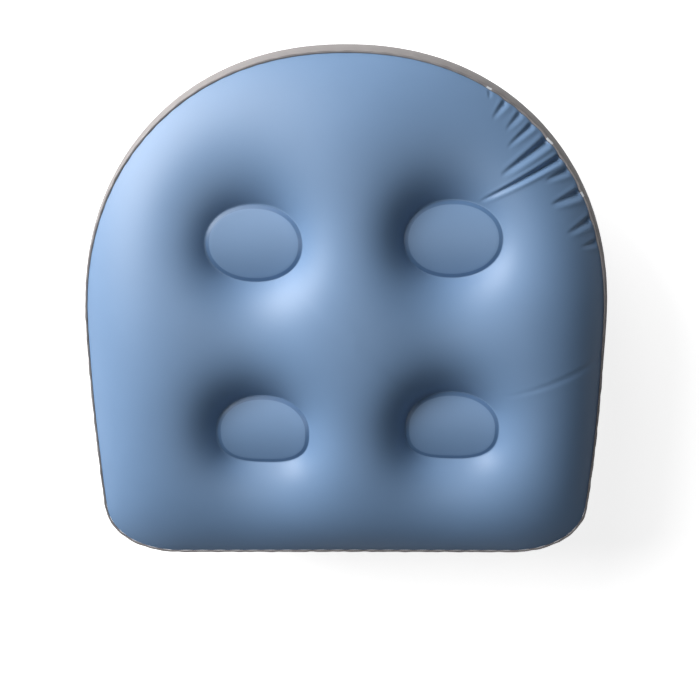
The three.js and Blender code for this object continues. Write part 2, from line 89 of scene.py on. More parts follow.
# Each lamp: its direction from the seat and its height in degrees, its width and its watts
lamps = {
    "key": (150, 32, 1.4, 62.0),
    "low key": (142, 12, 1.4, 38.0),
    "arch side": (120, 32, 1.2, 18.0),
    "top": (0, 90, 1.4, 9.0),
}
for name, (way, height, size, power) in lamps.items():
    way, height = math.radians(way), math.radians(height)
    level = math.cos(height)
    to_lamp = Vector((level * math.cos(way), level * math.sin(way), math.sin(height)))
    data = bpy.data.lights.new(name, "AREA")
    data.shape = "DISK"
    data.size = size
    data.energy = power
    lamp = bpy.data.objects.new(name, data)
    lamp.location = lamp_aim + lamp_distance * to_lamp
    lamp.rotation_euler = (-to_lamp).to_track_quat("-Z", "Y").to_euler()
    bpy.context.collection.objects.link(lamp)
print("lamps:", ", ".join(lamps))

world = bpy.data.worlds.new("sky")
bpy.context.scene.world = world
world.use_nodes = True
sky = world.node_tree.nodes["Background"]
sky.inputs["Color"].default_value = (0.80, 0.88, 1.0, 1)
sky.inputs["Strength"].default_value = 0.015
backdrop = world.node_tree.nodes.new("ShaderNodeBackground")
path = world.node_tree.nodes.new("ShaderNodeLightPath")
choose = world.node_tree.nodes.new("ShaderNodeMixShader")
for output, socket in (
    (path.outputs["Is Camera Ray"], choose.inputs["Fac"]),
    (sky.outputs["Background"], choose.inputs[1]),
    (backdrop.outputs["Background"], choose.inputs[2]),
    (choose.outputs["Shader"], world.node_tree.nodes["World Output"].inputs["Surface"]),
):
    world.node_tree.links.new(output, socket)
backdrop.inputs["Color"].default_value = (1, 1, 1, 1)
bpy.context.scene.view_settings.view_transform = "Standard"


# %% [markdown]
# # The floor
#
# A plain pale floor carries the seat's shadow. To make it show white, the camera sees
# a little glow added to it. The lamps stay as they are, so the seat isn't washed out.

# %% The floor
def white_floor():
    material = bpy.data.materials.new("floor")
    material.use_nodes = True
    tree = material.node_tree
    shader = tree.nodes["Principled BSDF"]
    shader.inputs["Base Color"].default_value = (0.82, 0.82, 0.82, 1)
    shader.inputs["Roughness"].default_value = 0.9
    shader.inputs["Specular IOR Level"].default_value = 0.1
    glow = tree.nodes.new("ShaderNodeEmission")
    glow.inputs["Strength"].default_value = 0.75
    both = tree.nodes.new("ShaderNodeAddShader")
    choose = tree.nodes.new("ShaderNodeMixShader")
    path = tree.nodes.new("ShaderNodeLightPath")
    sees = tree.nodes.new("ShaderNodeMath")
    sees.operation = "MAXIMUM"
    link = tree.links.new
    link(path.outputs["Is Camera Ray"], sees.inputs[0])
    link(path.outputs["Is Transmission Ray"], sees.inputs[1])
    link(shader.outputs["BSDF"], both.inputs[0])
    link(glow.outputs["Emission"], both.inputs[1])
    link(sees.outputs["Value"], choose.inputs["Fac"])
    link(shader.outputs["BSDF"], choose.inputs[1])
    link(both.outputs["Shader"], choose.inputs[2])
    link(choose.outputs["Shader"], tree.nodes["Material Output"].inputs["Surface"])
    return material


floor_half_width = 6.0
floor_mesh = bpy.data.meshes.new("floor")
bm = bmesh.new()
bmesh.ops.create_grid(bm, x_segments=1, y_segments=1, size=floor_half_width)
bm.to_mesh(floor_mesh)
bm.free()
floor_mesh.materials.append(white_floor())
floor = bpy.data.objects.new("floor", floor_mesh)
bpy.context.collection.objects.link(floor)

# %% [markdown]
# # Finishes
#
# All the films are plasticised vinyl: a satin skin with a fine pebble grain from the
# roller it was pressed on, slightly uneven in tone. One node group holds that effect,
# and each film places it with its own grain and tone. The moulded fittings are the same
# stuff, smoother and shinier, and the suction cups are clear.


# %% The grain of pressed film
def film_group():
    group = bpy.data.node_groups.new("pressed film", "ShaderNodeTree")
    face = group.interface
    for name, kind, value in (
        ("Colour", "NodeSocketColor", (0.5, 0.5, 0.5, 1)),
        ("Grain Scale", "NodeSocketFloat", 1400.0),
        ("Grain Depth", "NodeSocketFloat", 0.00002),
        ("Mottle", "NodeSocketFloat", 0.06),
        ("Roughness", "NodeSocketFloat", 0.4),
    ):
        socket = face.new_socket(name, in_out="INPUT", socket_type=kind)
        socket.default_value = value
    face.new_socket("Colour", in_out="OUTPUT", socket_type="NodeSocketColor")
    face.new_socket("Roughness", in_out="OUTPUT", socket_type="NodeSocketFloat")
    face.new_socket("Normal", in_out="OUTPUT", socket_type="NodeSocketVector")
    nodes = group.nodes
    link = group.links.new
    taken = nodes.new("NodeGroupInput")
    given = nodes.new("NodeGroupOutput")
    where = nodes.new("ShaderNodeTexCoord")

    pebbles = nodes.new("ShaderNodeTexVoronoi")
    pebbles.feature = "SMOOTH_F1"
    link(where.outputs["Object"], pebbles.inputs["Vector"])
    link(taken.outputs["Grain Scale"], pebbles.inputs["Scale"])
    bump = nodes.new("ShaderNodeBump")
    bump.inputs["Strength"].default_value = 0.6
    link(pebbles.outputs["Distance"], bump.inputs["Height"])
    link(taken.outputs["Grain Depth"], bump.inputs["Distance"])
    link(bump.outputs["Normal"], given.inputs["Normal"])

    clouds = nodes.new("ShaderNodeTexNoise")
    clouds.inputs["Scale"].default_value = 22
    clouds.inputs["Detail"].default_value = 5
    link(where.outputs["Object"], clouds.inputs["Vector"])
    swing = nodes.new("ShaderNodeMapRange")
    swing.inputs["From Min"].default_value = 0.3
    swing.inputs["From Max"].default_value = 0.7
    swing.inputs["To Min"].default_value = -1
    swing.inputs["To Max"].default_value = 1
    link(clouds.outputs["Fac"], swing.inputs["Value"])
    tone = nodes.new("ShaderNodeMath")
    tone.operation = "MULTIPLY_ADD"
    tone.inputs[2].default_value = 1
    link(swing.outputs["Result"], tone.inputs[0])
    link(taken.outputs["Mottle"], tone.inputs[1])
    tint = nodes.new("ShaderNodeVectorMath")
    tint.operation = "SCALE"
    link(taken.outputs["Colour"], tint.inputs["Vector"])
    link(tone.outputs["Value"], tint.inputs["Scale"])
    link(tint.outputs["Vector"], given.inputs["Colour"])

    rough = nodes.new("ShaderNodeMath")
    rough.operation = "MULTIPLY"
    link(taken.outputs["Roughness"], rough.inputs[0])
    link(tone.outputs["Value"], rough.inputs[1])
    link(rough.outputs["Value"], given.inputs["Roughness"])
    return group


pressed_film = film_group()


def film(name, colour, roughness, grain_scale, grain_depth, mottle=0.05):
    material = bpy.data.materials.new(name)
    material.use_nodes = True
    tree = material.node_tree
    shader = tree.nodes["Principled BSDF"]
    shader.inputs["Specular IOR Level"].default_value = 0.7
    effect = tree.nodes.new("ShaderNodeGroup")
    effect.node_tree = pressed_film
    effect.inputs["Colour"].default_value = (*colour, 1)
    effect.inputs["Roughness"].default_value = roughness
    effect.inputs["Grain Scale"].default_value = grain_scale
    effect.inputs["Grain Depth"].default_value = grain_depth
    effect.inputs["Mottle"].default_value = mottle
    tree.links.new(effect.outputs["Colour"], shader.inputs["Base Color"])
    tree.links.new(effect.outputs["Roughness"], shader.inputs["Roughness"])
    tree.links.new(effect.outputs["Normal"], shader.inputs["Normal"])
    return material


# Each film: its name, colour, roughness, grain scale, grain depth and mottle
blue_film = film("blue film", (0.166, 0.279, 0.462), 0.53, 1500, 0.00002, 0.02)
# The weld's colour is darker than the blue film's: partly the weld's own tone, partly painted shade
# of the ring's welded step.
weld_tone_and_shade_film = film("blue weld with painted shade", (0.100, 0.190, 0.345), 0.36, 1500, 0.00002, 0.02)
grey_film = film("grey film", (0.254, 0.233, 0.230), 0.50, 1500, 0.00003, 0.03)
welded_film = film("welded film", (0.225, 0.210, 0.210), 0.34, 700, 0.00004, 0.20)
strained_film = film("strained weld", (0.62, 0.64, 0.66), 0.34, 700, 0.00004, 0.10)
inner_film = film("inner film", (0.62, 0.65, 0.69), 0.5, 1500, 0.00002)
valve_vinyl = film("valve vinyl", (0.36, 0.40, 0.45), 0.33, 900, 0.00001, 0.04)
print("finishes:", len(bpy.data.materials))


# %% Clear vinyl
def clear_vinyl():
    material = bpy.data.materials.new("clear vinyl")
    material.use_nodes = True
    tree = material.node_tree
    shader = tree.nodes["Principled BSDF"]
    shader.inputs["Transmission Weight"].default_value = 0.85
    shader.inputs["IOR"].default_value = 1.45
    where = tree.nodes.new("ShaderNodeTexCoord")
    haze = tree.nodes.new("ShaderNodeTexNoise")
    haze.inputs["Scale"].default_value = 160
    tree.links.new(where.outputs["Object"], haze.inputs["Vector"])
    tint = tree.nodes.new("ShaderNodeMix")
    tint.data_type = "RGBA"
    tint.inputs["A"].default_value = (0.82, 0.87, 0.90, 1)
    tint.inputs["B"].default_value = (0.90, 0.94, 0.96, 1)
    tree.links.new(haze.outputs["Fac"], tint.inputs["Factor"])
    tree.links.new(tint.outputs["Result"], shader.inputs["Base Color"])
    frost = tree.nodes.new("ShaderNodeMapRange")
    frost.inputs["To Min"].default_value = 0.08
    frost.inputs["To Max"].default_value = 0.22
    tree.links.new(haze.outputs["Fac"], frost.inputs["Value"])
    tree.links.new(frost.outputs["Result"], shader.inputs["Roughness"])
    return material


cup_vinyl = clear_vinyl()

# %% [markdown]
# # The seat's driving sizes
#
# The plan is a fat arch on straight sides that draw in a little, with a straight front
# and rounded front corners. These sizes are the ones that the CAD solids were made
# from, here in metres.

# %% Sizes
half_width = 0.210
back_y = 0.205
front_y = -0.2023
arch_centre_y = -0.009
arch_power = 2.15
side_draw_in = 0.011
corner_width = 0.067
corner_depth = 0.046
corner_power = 2.2
crown_z = 0.150
lowest_z = 0.0145
mid_z = (crown_z + lowest_z) / 2
seam_z = crown_z - 0.034
ring_z = crown_z - 0.030
valve_x = 0.090
hole_radius = 0.0104  # of the hole in the wall behind the valve
# How far the wall bows out beyond its seams, by direction from the middle, in degrees
bulge_direction = (0, 45, 90, 135, 180, 208, 226, 270, 314, 332, 360)
bulge_there = (10.5, 10.5, 10.5, 10.5, 9.5, 8.0, 6.0, 7.0, 7.0, 8.0, 10.5)


# %% The outline of the fullest wall
def wall_outline(steps=160):
    """Points of the fullest wall, clockwise from the top of the arch, and the way out."""
    a = np.linspace(0, math.pi / 2, steps, endpoint=False)
    arch_x = half_width * np.sin(a) ** (2 / arch_power)
    arch_y = arch_centre_y + (back_y - arch_centre_y) * np.cos(a) ** (2 / arch_power)
    corner_y = front_y + corner_depth
    side_y = np.linspace(arch_centre_y, corner_y, steps // 2, endpoint=False)
    round_x = half_width - corner_width + corner_width * np.cos(a) ** (2 / corner_power)
    round_y = corner_y - corner_depth * np.sin(a) ** (2 / corner_power)
    flat_x = np.linspace(half_width - corner_width, 0, steps // 3)
    x = np.concatenate([arch_x, np.full_like(side_y, half_width), round_x, flat_x])
    y = np.concatenate([arch_y, side_y, round_y, np.full_like(flat_x, front_y)])
    forward = np.clip((arch_centre_y - y) / (arch_centre_y - front_y), 0, None)
    x = x * (1 - side_draw_in / half_width * forward**2)
    line = np.column_stack([x, y])
    line = np.vstack([line, line[-2:0:-1] * (-1, 1)])
    along = np.roll(line, -1, axis=0) - np.roll(line, 1, axis=0)
    along /= np.linalg.norm(along, axis=1)[:, None]
    return line, np.column_stack([-along[:, 1], along[:, 0]])


wall_line, wall_out = wall_outline()
direction = np.degrees(np.arctan2(wall_line[:, 1], wall_line[:, 0])) % 360
wall_bulge = np.interp(direction, bulge_direction, bulge_there) / 1000
seam_line = wall_line - wall_bulge[:, None] * wall_out
seam_steps = np.linalg.norm(np.roll(seam_line, -1, axis=0) - seam_line, axis=1)
seam_length = seam_steps.sum()
seam_share = np.concatenate([[0], np.cumsum(seam_steps)]) / seam_length
print(f"seam: {seam_length * 1000:.0f} mm round")


def round_the_seat(share, values):
    """Reads a value kept for each outline point at shares of the seam's length."""
    return np.interp(np.mod(share, 1), seam_share, np.append(values, values[0]))


def outward_at(share):
    way = np.column_stack([round_the_seat(share, wall_out[:, k]) for k in (0, 1)])
    return way / np.linalg.norm(way, axis=1)[:, None]


def on_seam(share, out=0.0):
    """Places at shares of the seam's length, moved out from the seam."""
    line = np.column_stack([round_the_seat(share, seam_line[:, k]) for k in (0, 1)])
    return line + outward_at(share) * np.reshape(out, (-1, 1))


# %% [markdown]
# # The four dimples
#
# Inside the seat, four oval tie columns hold the two sheets together. Each is welded to
# the sheet along a ring, which the film dips down to. The ring's narrow band is pressed
# thin by the weld, and its colour is darker: partly the weld's own tone, partly painted
# shade that stands in for the shade of the welded step. The pull of the column bends the
# disc within it: it arches from front to back, and its right edge stands a little higher
# than its left one.

# %% The four discs
column_middle = np.array([0.0075, -0.0132])
column_spacing = (0.149, 0.147)
column_turn = math.radians(1.28)
disc_half_width = 0.0367
disc_half_depth = {1: 0.0291, -1: 0.028}
disc_lower_power = {1: 2.1, -1: 2.7}
disc_power = 2.1
weld_width = 0.0032
weld_step = 0.0006
on_ring = 1e-6  # a point this near to a ring counts as on it
disc_arch = np.array([-0.0006, 0.0058])  # how far a disc bulges across and along the seat
disc_tilt = np.array([0.0018, 0.0])  # how far its right and its back edge stand higher

sine, cosine = math.sin(column_turn), math.cos(column_turn)
column_axes = np.array([[cosine, -sine], [sine, cosine]])
discs = {}
for end, end_name in ((1, "back"), (-1, "front")):
    for side, side_name in ((-1, "left"), (1, "right")):
        offset = np.array([side * column_spacing[0], end * column_spacing[1]]) / 2
        centre = column_middle + column_axes @ offset
        discs[f"{end_name}_{side_name}"] = {"centre": centre, "end": end}
print("discs:", ", ".join(discs))


def disc_radius(disc, angle):
    lower = disc_lower_power[disc["end"]]
    power = np.where(np.sin(angle) < 0, lower, disc_power)
    across = np.abs(np.cos(angle) / disc_half_width) ** power
    along = np.abs(np.sin(angle) / disc_half_depth[disc["end"]]) ** power
    return (across + along) ** (-1 / power)


# %% The form of a disc
def ring_distance(disc, points):
    """How far plan points lie outside the ring of a disc."""
    away = points - disc["centre"]
    radius = disc_radius(disc, np.arctan2(away[:, 1], away[:, 0]))
    return np.linalg.norm(away, axis=1) - radius


def place_in_discs(points):
    """Distance of plan points from the nearest ring, and how far its disc is lifted there."""
    beyond = np.full(len(points), np.inf)
    lift = np.zeros(len(points))
    for disc in discs.values():
        distance = ring_distance(disc, points)
        share = (points - disc["centre"]) / (disc_half_width, disc_half_depth[disc["end"]])
        here = (1 - share**2) @ disc_arch + share @ disc_tilt
        here += weld_step * np.clip(-distance / weld_width, 0, 1)
        lift = np.where(distance < on_ring, here, lift)
        beyond = np.minimum(beyond, distance)
    return beyond, lift


# %% [markdown]
# # Creases
#
# Where a sheet is cut a little long for its seam, the spare length gathers into folds
# that run in from the seam. The photographed seat has a bunch of them on its upper
# right, one of which runs nearly to a disc. Each is a narrow valley with a soft ridge on
# either side, widest at the seam.

# %% Distance from the seam
seam_post_step = 3  # every third point of the seam is near enough
batch_points = 4000


def seam_distance(points):
    """Distance of each plan point from the seam, in batches to save memory."""
    posts = seam_line[::seam_post_step]
    leg = np.roll(posts, -1, axis=0) - posts
    square = (leg**2).sum(axis=1)
    least = []
    for batch in np.array_split(points, max(1, len(points) // batch_points)):
        to = batch[:, None, :] - posts[None]
        t = np.clip((to * leg).sum(axis=2) / square, 0, 1)
        least.append(np.linalg.norm(to - t[..., None] * leg, axis=2).min(axis=1))
    return np.concatenate(least)


# %% The creases of the top sheet
# Each crease, in millimetres: its foot along the seam from the top of the arch, the
# plan place where it ends, its depth and its width at the foot
top_creases = (
    (109, (104, 163), 0.9, 1.8),
    (123, (106, 149), 1.6, 2.2),
    (137, (116, 141), 1.4, 2.2),
    (149, (117, 129), 1.8, 2.2),
    (165, (113, 109), 3.2, 3.0),
    (181, (99, 90), 3.4, 2.3),
    (192, (146, 105), 1.9, 2.4),
    (211, (151, 88), 2.8, 3.0),
    (233, (164, 67), 2.2, 2.8),
    (251, (176, 57), 1.6, 2.4),
    (341, (119, -57), 0.5, 2.6),
)
crease_narrowing = 0.45
crease_fading = 0.9  # below 1, a crease keeps its depth for longer
crease_start = 0.003  # how far in from the seam a crease gets its full depth
# A crease's cross-section: a steep side that faces the front, a gentler one behind it
# and a ridge along each side. Each row: how deep or high, where and how wide
crease_section = ((-1.1, 0.0, 0.7), (-0.40, 0.8, 0.9), (0.32, 2.2, 1.0), (0.18, -1.6, 0.8))


def crease_lift(points, edge_distance):
    """How far the creases lift or sink the sheet over plan points."""
    lift = np.zeros(len(points))
    for foot, end, depth, width in top_creases:
        start = on_seam(np.array([foot / 1000 / seam_length]))[0]
        way = np.array(end) / 1000 - start
        length = np.linalg.norm(way)
        way /= length
        along = (points - start) @ way / length
        across = (points - start) @ np.array([-way[1], way[0]])
        b = across / (width / 1000 * (1 - crease_narrowing * np.clip(along, 0, 1)))
        section = sum(size * np.exp(-(((b - at) / wide) ** 2)) for size, at, wide in crease_section)
        fade = np.where(along < 1, np.clip(1 - along, 0, 1.1) ** crease_fading, 0)
        lift += depth / 1000 * fade * section
    return lift * np.clip(edge_distance / crease_start, 0, 1)


scallop_pull = 0.0009
scallop_depth = 3  # millimetres, of a crease that pulls the seam in by that much
scallop_reach = 0.0045


def top_pull(share):
    """How far the creases pull the top seam in at shares of its length."""
    drawn = np.zeros_like(share)
    for foot, _end, depth, _width in top_creases:
        away = (share - foot / 1000 / seam_length + 0.5) % 1 - 0.5
        drawn -= (
            scallop_pull
            * depth
            / scallop_depth
            * np.exp(-((away * seam_length / scallop_reach) ** 2))
        )
    return drawn


# %% [markdown]
# # A helper for film
#
# A sheet of film starts as a flat grid, which is then laid out in space: columns run
# round the piece and rows run across it. Where the first and last columns meet, or a
# row shrinks to a point, the doubled vertices are merged.


# %% Grids laid out in space
def laid_grid(columns, rows, place):
    """A grid whose vertex in column i and row j goes to place(i, j)."""
    bm = bmesh.new()
    bmesh.ops.create_grid(bm, x_segments=columns, y_segments=rows, size=1)
    flat = np.array([vertex.co[:2] for vertex in bm.verts])
    i = np.rint((flat[:, 0] + 1) / 2 * columns).astype(int)
    j = np.rint((flat[:, 1] + 1) / 2 * rows).astype(int)
    for vertex, co in zip(bm.verts, place(i, j)):
        vertex.co = co
    return bm


def finish_piece(name, bm, material, body, slot, *nodes, merge=1e-6, outward=None):
    """Makes a smooth object of a bmesh, which rides on a body and replaces nodes."""
    bmesh.ops.remove_doubles(bm, verts=bm.verts, dist=merge)
    bmesh.ops.recalc_face_normals(bm, faces=bm.faces)
    if outward is not None:
        facing = sum(face.normal.dot(outward(face.calc_center_median())) for face in bm.faces)
        if facing < 0:
            bmesh.ops.reverse_faces(bm, faces=bm.faces)
    for face in bm.faces:
        face.smooth = True
    mesh = bpy.data.meshes.new(name)
    bm.to_mesh(mesh)
    bm.free()
    mesh.materials.append(material)
    piece = bpy.data.objects.new(name, mesh)
    bpy.context.collection.objects.link(piece)
    if body is not None:
        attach(piece, body)
    if nodes:
        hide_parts(*nodes)
    print(f"{name}: {len(mesh.polygons)} faces")
    return piece


# %% [markdown]
# # The top sheet
#
# The sheet is laid out in four quarters, one round each disc. In a quarter the columns
# fan out from the weld ring to the seam and to the lines between the quarters, and the
# rows run in to the middle of the disc. So the mesh follows the welded step exactly and
# is finest where the film bends most.

# %% The layout of the quarters
quarter_order = ("back_right", "front_right", "front_left", "back_left")
seam_columns = {"back_right": 420, "front_right": 130, "front_left": 130, "back_left": 150}
divide_columns = 44
field_rows = 48
weld_rows = 6
disc_rows = 12
divide_crowding = 0.8  # below 1, the columns on the dividing lines crowd at the seam
ring_shares = (0, 0.42, 0.71, 1)  # how far round the ring each corner of the border lies
plan_merge = 2e-5


def seam_share_nearest(goal):
    """Share of the seam where it passes nearest to a plan point."""
    return seam_share[np.argmin(np.linalg.norm(seam_line - goal, axis=1))]


divide_ends = [
    seam_share_nearest((column_middle[0], back_y)),
    seam_share_nearest((half_width, column_middle[1])),
    seam_share_nearest((column_middle[0], front_y)),
    seam_share_nearest((-half_width, column_middle[1])),
]
field_steps = np.linspace(0, 1, field_rows, endpoint=False)
row_shares = np.concatenate(
    [
        field_steps / 2 + (1 - np.cos(math.pi * field_steps)) / 4,
        1 + np.linspace(0, 1, weld_rows, endpoint=False),
        2 + np.linspace(0, 1, disc_rows + 1),
    ]
)


def quarter_border(name, pull):
    """The border of a quarter, clockwise, and how far round its ring each point lies."""
    q = quarter_order.index(name)
    first, last = divide_ends[q], divide_ends[(q + 1) % 4]
    if last <= first:
        last += 1
    count = seam_columns[name]
    shares = np.linspace(first, last, count, endpoint=False)
    seam = on_seam(shares, pull(np.mod(shares, 1)))
    step = np.arange(divide_columns)[:, None] / divide_columns
    ends = on_seam(np.array([first, last]), pull(np.mod([first, last], 1)))
    inwards = column_middle + (ends[1] - column_middle) * (1 - step) ** divide_crowding
    outwards = column_middle + (ends[0] - column_middle) * step**divide_crowding
    border = np.vstack([seam, inwards, outwards, seam[:1]])
    even = np.concatenate(
        [
            np.linspace(ring_shares[0], ring_shares[1], count, endpoint=False),
            np.linspace(ring_shares[1], ring_shares[2], divide_columns, endpoint=False),
            np.linspace(ring_shares[2], ring_shares[3], divide_columns + 1),
        ]
    )
    return border, even


def quarter_plan(name, pull):
    """Plan places of a quarter, as rows by columns."""
    disc = discs[name]
    border, even = quarter_border(name, pull)
    to = border - disc["centre"]
    direct = np.unwrap(np.arctan2(to[:, 1], to[:, 0]))
    evenly = direct[0] - 2 * math.pi * even
    angle = (direct + evenly) / 2
    spoke = np.column_stack([np.cos(angle), np.sin(angle)])
    radius = disc_radius(disc, angle)[:, None]
    ring = disc["centre"] + spoke * radius
    inner = disc["centre"] + spoke * (radius - weld_width)
    rows = []
    for share in row_shares:
        if share < 1:
            rows.append(border + (ring - border) * share)
        elif share < 2:
            rows.append(ring + (inner - ring) * (share - 1))
        else:
            rows.append(inner + (disc["centre"] - inner) * (share - 2))
    return np.array(rows)


def flat_sheet(pull):
    """All four quarters of a sheet, laid flat and joined."""
    whole = bmesh.new()
    for name in quarter_order:
        plan = quarter_plan(name, pull)

        def place(i, j):
            return np.column_stack([plan[j, i], np.zeros(len(i))])

        part = laid_grid(plan.shape[1] - 1, len(row_shares) - 1, place)
        mesh = bpy.data.meshes.new(name)
        part.to_mesh(mesh)
        part.free()
        whole.from_mesh(mesh)
        bpy.data.meshes.remove(mesh)
    bmesh.ops.remove_doubles(whole, verts=whole.verts, dist=plan_merge)
    return whole


# %% [markdown]
# # Blowing up the film
#
# A film that is stretched over a frame and blown up is pulled at each point towards the
# mean height of its neighbours, and pushed up by the air. That is the balance of a soap
# film, and it gives the dome between the seam and the rings and the deep funnels round
# the rings. A cloth simulation would find much the same form, with less control over its
# exact height, so the balance is solved here on the mesh itself, by conjugate gradients.
# The film's cut lets it pull harder along the seat than across it.

# %% The balance of the film
film_pull = (0.82, 1.22)  # across and along the seat
air_lean = (0.22, -0.20)  # how much fuller the film is to the right and to the back
fullness_power = 1.21  # above 1, the dome rises more steeply from its edges
solve_steps = 4000
solve_error = 1e-6
least_cross = 1e-12


def balance_weights(plan, triangles):
    """The links between neighbours and how strongly each pulls, and each point's area."""
    at = plan / np.sqrt(film_pull)
    links, pulls = [], []
    area = np.zeros(len(plan))
    for turn in range(3):
        a, b, c = (triangles[:, (turn + k) % 3] for k in range(3))
        to_a, to_b = at[a] - at[c], at[b] - at[c]
        cross = np.abs(to_a[:, 0] * to_b[:, 1] - to_a[:, 1] * to_b[:, 0])
        links.append(np.column_stack([a, b]))
        pulls.append((to_a * to_b).sum(axis=1) / np.maximum(cross, least_cross) / 2)
        area += np.bincount(c, cross / 6, len(plan))
    pairs = np.sort(np.vstack(links), axis=1)
    pairs, which = np.unique(pairs[:, 0] * len(plan) + pairs[:, 1], return_inverse=True)
    both = np.column_stack([pairs // len(plan), pairs % len(plan)])
    return both, np.bincount(which.ravel(), np.concatenate(pulls)), area


def balanced(links, pulls, held, push):
    """Solves for heights that are given where held, and free to move elsewhere."""
    count = len(push)
    free = np.isnan(held)
    first, second = links.T

    def residual(height):
        flow = pulls * (height[first] - height[second])
        return np.bincount(first, flow, count) - np.bincount(second, flow, count)

    stiffness = np.bincount(first, pulls, count) + np.bincount(second, pulls, count)
    height = np.where(free, 0, held)
    error = np.where(free, push - residual(height), 0)
    goal = solve_error * np.linalg.norm(error)
    scaled = np.where(free, error / stiffness, 0)
    way = scaled.copy()
    strength = error @ scaled
    for _ in range(solve_steps):
        bend = np.where(free, residual(way), 0)
        step = strength / (way @ bend)
        height += step * way
        error -= step * bend
        if np.linalg.norm(error) < goal:
            break
        scaled = np.where(free, error / stiffness, 0)
        next_strength = error @ scaled
        way = scaled + way * (next_strength / strength)
        strength = next_strength
    return height


def blown_heights(bm):
    """Heights of a flat sheet's vertices once it is blown up."""
    bm.verts.index_update()
    plan = np.array([vertex.co[:2] for vertex in bm.verts])
    corners = [[vertex.index for vertex in face.verts] for face in bm.faces]
    second_halves = [[c[0], *c[2:]] for c in corners if len(c) == 4]
    triangles = np.array([c[:3] for c in corners] + second_halves)
    links, pulls, area = balance_weights(plan, triangles)
    beyond, lift = place_in_discs(plan)
    seam = np.array([vertex.is_boundary for vertex in bm.verts])
    held = np.where(seam, seam_z, np.where(beyond < on_ring, ring_z + lift, np.nan))
    air = area * (1 + plan @ air_lean / half_width)
    swollen = balanced(links, pulls, np.where(np.isnan(held), np.nan, 0), air)
    carried = balanced(links, pulls, held, np.zeros(len(plan)))
    dome = 1 - (1 - swollen / swollen.max()) ** fullness_power
    return plan, beyond, carried + dome * (crown_z - carried[np.argmax(swollen)])


# %% The top sheet
def up(_point):
    return Vector((0, 0, 1))


bm = flat_sheet(top_pull)
plan, beyond, heights = blown_heights(bm)
heights += crease_lift(plan, seam_distance(plan))
print(f"crown before it is levelled: {heights.max() * 1000:.2f} mm high")
heights = seam_z + (heights - seam_z) * (crown_z - seam_z) / (heights.max() - seam_z)
for vertex, z in zip(bm.verts, heights):
    vertex.co.z = z
# The weld band takes the darker weld finish: painted shade of the ring's step on top of the weld's
# own tone.
painted_weld_band = (beyond < on_ring) & (beyond > -weld_width - on_ring)
for face in bm.faces:
    face.material_index = int(all(painted_weld_band[vertex.index] for vertex in face.verts))
top_sheet = finish_piece(
    "top_sheet_film", bm, blue_film, "cushion", "blue_film", "top_sheet", outward=up
)
top_sheet.data.materials.append(weld_tone_and_shade_film)


# %% [markdown]
# # The bottom sheet
#
# The bottom sheet is cut from the wall's grey film. The tub presses it flatter than the
# top, so its form is a plain one: multiplying a rise from the seam by a rise from each
# ring gives a level field with rounded sides. Air bulges its discs out a little.

# %% The bottom sheet
bottom_edge = (0.055, 2.4)  # reach from the seam and power of its curve
bottom_dimple = (0.056, 2.2)
bottom_button = 0.003  # how far the middle of a disc bulges out


def rise(distance, reach, power):
    return 1 - (1 - np.clip(distance / reach, 0, 1)) ** power


def bottom_height(points):
    distances = [ring_distance(disc, points) for disc in discs.values()]
    free = np.prod([rise(distance, *bottom_dimple) for distance in distances], axis=0)
    blown = seam_z + (crown_z - seam_z) * rise(seam_distance(points), *bottom_edge)
    button = bottom_button * rise(-np.min(distances, axis=0), disc_half_depth[-1], 2)
    return 2 * mid_z - (ring_z + (blown - ring_z) * free + button)


def down(_point):
    return Vector((0, 0, -1))


def no_pull(share):
    return np.zeros_like(share)


bm = flat_sheet(no_pull)
heights = bottom_height(np.array([vertex.co[:2] for vertex in bm.verts]))
for vertex, z in zip(bm.verts, heights):
    vertex.co.z = z
bottom_sheet = finish_piece(
    "bottom_sheet_film", bm, grey_film, "cushion", "grey_film", "bottom_sheet", outward=down
)


# %% [markdown]
# # The side wall
#
# The wall is one band of film between the two seams. Pressure bows it out into an arc.
# Where the outline curves, the band has a little spare length at its edges, which
# gathers into fine puckers that fade towards its middle.

# %% The side wall
wall_half_height = seam_z - mid_z
wall_half_angle = 0.6  # radians, half of the arc that the band is bowed to
wall_columns = 660
wall_rows = 36


def curvature(share, step=0.004):
    """How sharply the outline turns at shares of the seam, in radians a metre."""
    before = outward_at(share - step)
    after = outward_at(share + step)
    turn = np.arccos(np.clip((before * after).sum(axis=1), -1, 1))
    return turn / (2 * step * seam_length)


# The puckers are waves, each with its size, its number round the seat and its start
pucker_waves = ((1, 83, 1.0), (0.7, 127, 4.0), (0.5, 53, 2.3))
pucker_depth = 0.00045
pucker_reach = 0.010
pucker_start = 0.002
pucker_curvature = 12  # radians a metre, where the puckers get their full depth
least_pucker = 0.12


def puckers(share, edge):
    """Fine gathers of the wall: strongest at its edge, where the outline curves."""
    turn = share * 2 * math.pi
    swing = sum(size * np.sin(turn * count + start) for size, count, start in pucker_waves)
    strength = np.clip(curvature(share) / pucker_curvature, least_pucker, 1)
    fade = np.exp(-edge / pucker_reach) * np.clip(edge / pucker_start, 0, 1)
    return pucker_depth * swing * strength * fade


def wall_surface(share, up_share):
    """Places on the wall: up_share runs from -1 at the bottom seam to 1 at the top one."""
    angle = wall_half_angle * up_share
    bow = (np.cos(angle) - math.cos(wall_half_angle)) / (1 - math.cos(wall_half_angle))
    edge = wall_half_height * (1 - np.abs(up_share))
    out = round_the_seat(share, wall_bulge) * bow + puckers(share, edge)
    out = out + top_pull(np.mod(share, 1)) * np.clip(up_share, 0, 1) ** 3
    z = mid_z + wall_half_height * np.sin(angle) / math.sin(wall_half_angle)
    return np.column_stack([on_seam(share, out), z])


def wall_place(i, j):
    return wall_surface(i / wall_columns, 2 * j / wall_rows - 1)


def away_from_middle(point):
    return Vector((point.x, point.y, 0))


